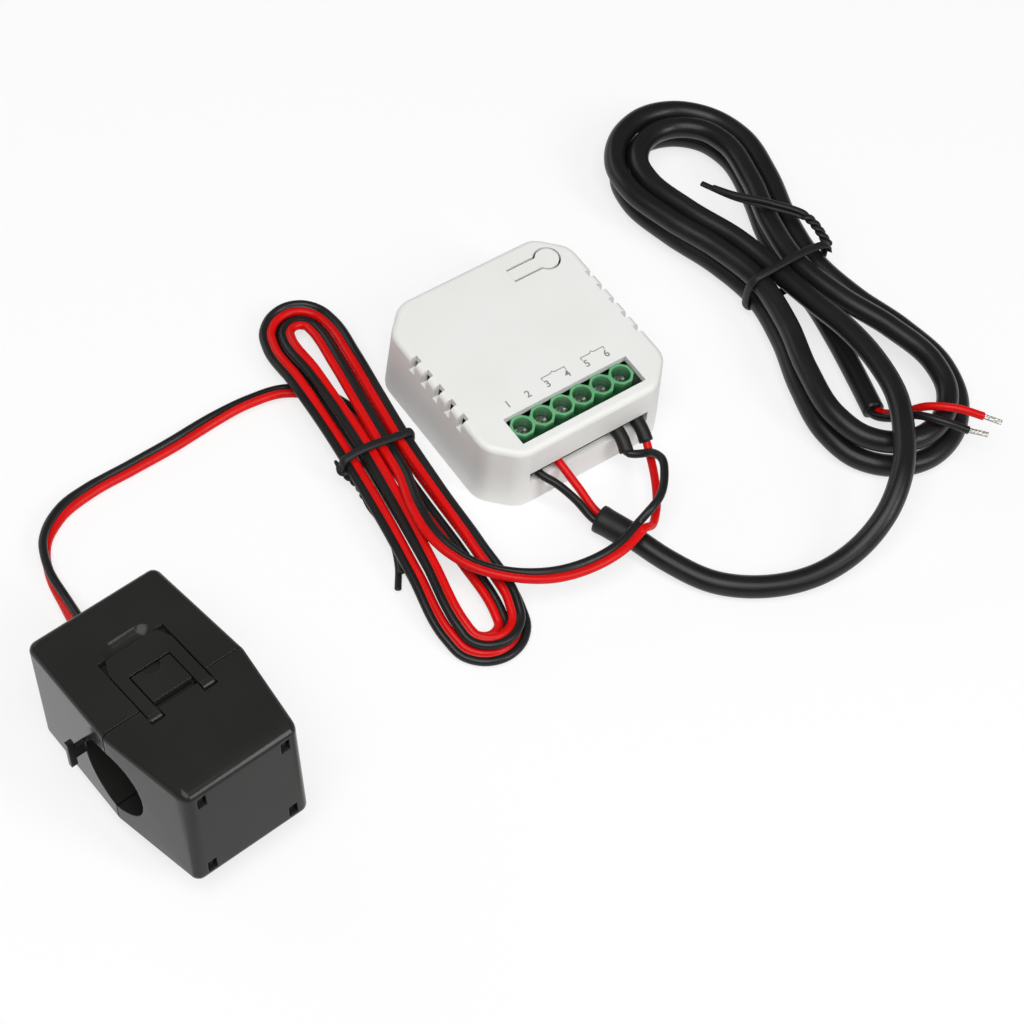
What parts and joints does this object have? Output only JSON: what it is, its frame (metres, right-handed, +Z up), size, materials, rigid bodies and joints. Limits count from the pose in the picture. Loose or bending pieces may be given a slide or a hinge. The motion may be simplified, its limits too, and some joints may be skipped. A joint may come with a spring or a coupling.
{
  "type": "clip-on energy monitor",
  "caption": "Small white mains energy monitor with a green screw-terminal row, a black split-core current clamp on a red and black twin lead, and a coiled black supply cable.",
  "frame": {"origin": "centre of the module underside", "axes": "X along the terminal row, Y from the terminal row to the button side, Z up"},
  "size_m": [0.2105, 0.1211, 0.0333],
  "materials": {
    "housing": "warm white satin moulding",
    "base": "white satin moulding",
    "board": "green solder mask",
    "chip": "black moulded package",
    "supply": "wrapped transformer",
    "capacitor": "sleeved can",
    "varistor": "dipped coating",
    "shield": "tinned shield",
    "terminal": "green satin moulding",
    "contact": "plated contact",
    "screw": "nickel plated",
    "cage": "zinc plated",
    "clamp": "black satin moulding",
    "pin": "turned pin",
    "core": "sintered ferrite",
    "bobbin": "natural moulding",
    "winding": "enamelled wire",
    "spring": "spring steel",
    "twin": "red and black PVC",
    "black_core": "black PVC",
    "red_core": "red PVC",
    "cable": "matt black PVC jacket",
    "sleeve": "black shrink tube",
    "tie": "black PVC over wire",
    "tinned": "tinned copper strands"
  },
  "bodies": {
    "monitor": {"top_cover": "housing", "base_plate": "base", "main_board": "board", "tact_switch": "chip", "supply_module": "supply", "supply_capacitor": "capacitor", "surge_varistor": "varistor", "radio_module": "board", "radio_shield": "shield", "metering_chip": "chip", "burden_resistors": "chip", "terminal_block": "terminal", "terminal_contacts": "contact", "clamp_body": "clamp", "hinge_pin": "pin", "fixed_core": "core", "core_bobbin": "bobbin", "core_winding": "winding", "clamp_gland": "clamp", "clamp_lead": "twin", "clamp_lead_hank": "twin", "clamp_lead_tail": "twin", "clamp_core_black": "black_core", "clamp_core_red": "red_core", "terminal_sleeves": "sleeve", "clamp_tie": "tie", "conductor_tips": "tinned", "power_core_black": "black_core", "power_core_red": "red_core", "power_boot": "sleeve", "power_cable": "cable", "power_cable_hank": "cable", "power_cable_end": "cable", "far_core_red": "red_core", "far_core_black": "black_core", "far_tips": "tinned", "power_tie": "tie"},
    "button": {"push_button": "housing"},
    "plunger": {"tact_plunger": "chip"},
    "jaw": {"clamp_jaw": "clamp", "moving_core": "core", "core_spring": "spring", "core_retainer": "clamp"},
    "latch": {"clamp_latch": "clamp"},
    "screw_1": {"terminal_screw_1": "screw"},
    "cage_1": {"terminal_cage_1": "cage"},
    "screw_2": {"terminal_screw_2": "screw"},
    "cage_2": {"terminal_cage_2": "cage"},
    "screw_3": {"terminal_screw_3": "screw"},
    "cage_3": {"terminal_cage_3": "cage"},
    "screw_4": {"terminal_screw_4": "screw"},
    "cage_4": {"terminal_cage_4": "cage"},
    "screw_5": {"terminal_screw_5": "screw"},
    "cage_5": {"terminal_cage_5": "cage"},
    "screw_6": {"terminal_screw_6": "screw"},
    "cage_6": {"terminal_cage_6": "cage"}
  },
  "joints": [
    {"name": "jaw_hinge", "type": "hinge", "parent": "monitor", "child": "jaw", "pos_m": [-0.10778, -0.04289, 0.0021], "axis": [0.9962, 0.0872, 0], "range_deg": [0, 50]},
    {"name": "latch_hinge", "type": "hinge", "parent": "jaw", "child": "latch", "pos_m": [-0.10792, -0.04134, 0.03039], "axis": [0.9962, 0.0872, 0], "range_deg": [0, 100]},
    {"name": "button_flex", "type": "hinge", "parent": "monitor", "child": "button", "pos_m": [0.00715, 0.01655, 0.01685], "axis": [0, 1, 0], "range_deg": [0, 2.2]},
    {"name": "plunger_slide", "type": "slide", "parent": "monitor", "child": "plunger", "axis": [0, 0, 1], "range_m": [-0.00036, 0], "stiffness_N_per_m": 600},
    {"name": "screw_1_turn", "type": "hinge", "parent": "monitor", "child": "screw_1", "pos_m": [-0.0125, -0.016, 0.013], "axis": [0, 0, 1], "range_deg": [0, 937]},
    {"name": "cage_1_slide", "type": "slide", "parent": "monitor", "child": "cage_1", "axis": [0, 0, 1], "range_m": [-0.0013, 0]},
    {"name": "screw_2_turn", "type": "hinge", "parent": "monitor", "child": "screw_2", "pos_m": [-0.0075, -0.016, 0.013], "axis": [0, 0, 1], "range_deg": [0, 937]},
    {"name": "cage_2_slide", "type": "slide", "parent": "monitor", "child": "cage_2", "axis": [0, 0, 1], "range_m": [-0.0013, 0]},
    {"name": "screw_3_turn", "type": "hinge", "parent": "monitor", "child": "screw_3", "pos_m": [-0.0025, -0.016, 0.013], "axis": [0, 0, 1], "range_deg": [-937, 0]},
    {"name": "cage_3_slide", "type": "slide", "parent": "monitor", "child": "cage_3", "axis": [0, 0, 1], "range_m": [0, 0.0013]},
    {"name": "screw_4_turn", "type": "hinge", "parent": "monitor", "child": "screw_4", "pos_m": [0.0025, -0.016, 0.013], "axis": [0, 0, 1], "range_deg": [-937, 0]},
    {"name": "cage_4_slide", "type": "slide", "parent": "monitor", "child": "cage_4", "axis": [0, 0, 1], "range_m": [0, 0.0013]},
    {"name": "screw_5_turn", "type": "hinge", "parent": "monitor", "child": "screw_5", "pos_m": [0.0075, -0.016, 0.013], "axis": [0, 0, 1], "range_deg": [0, 937]},
    {"name": "cage_5_slide", "type": "slide", "parent": "monitor", "child": "cage_5", "axis": [0, 0, 1], "range_m": [-0.0013, 0]},
    {"name": "screw_6_turn", "type": "hinge", "parent": "monitor", "child": "screw_6", "pos_m": [0.0125, -0.016, 0.013], "axis": [0, 0, 1], "range_deg": [0, 937]},
    {"name": "cage_6_slide", "type": "slide", "parent": "monitor", "child": "cage_6", "axis": [0, 0, 1], "range_m": [-0.0013, 0]}
  ],
  "couplings": [
    {"joint": "latch_hinge", "follows": "jaw_hinge", "ratio": 2},
    {"joint": "button_flex", "follows": "plunger_slide", "rad_per_m": -106.38},
    {"joint": "screw_1_turn", "follows": "cage_1_slide", "rad_per_m": -12566},
    {"joint": "screw_2_turn", "follows": "cage_2_slide", "rad_per_m": -12566},
    {"joint": "screw_3_turn", "follows": "cage_3_slide", "rad_per_m": -12566},
    {"joint": "screw_4_turn", "follows": "cage_4_slide", "rad_per_m": -12566},
    {"joint": "screw_5_turn", "follows": "cage_5_slide", "rad_per_m": -12566},
    {"joint": "screw_6_turn", "follows": "cage_6_slide", "rad_per_m": -12566}
  ]
}
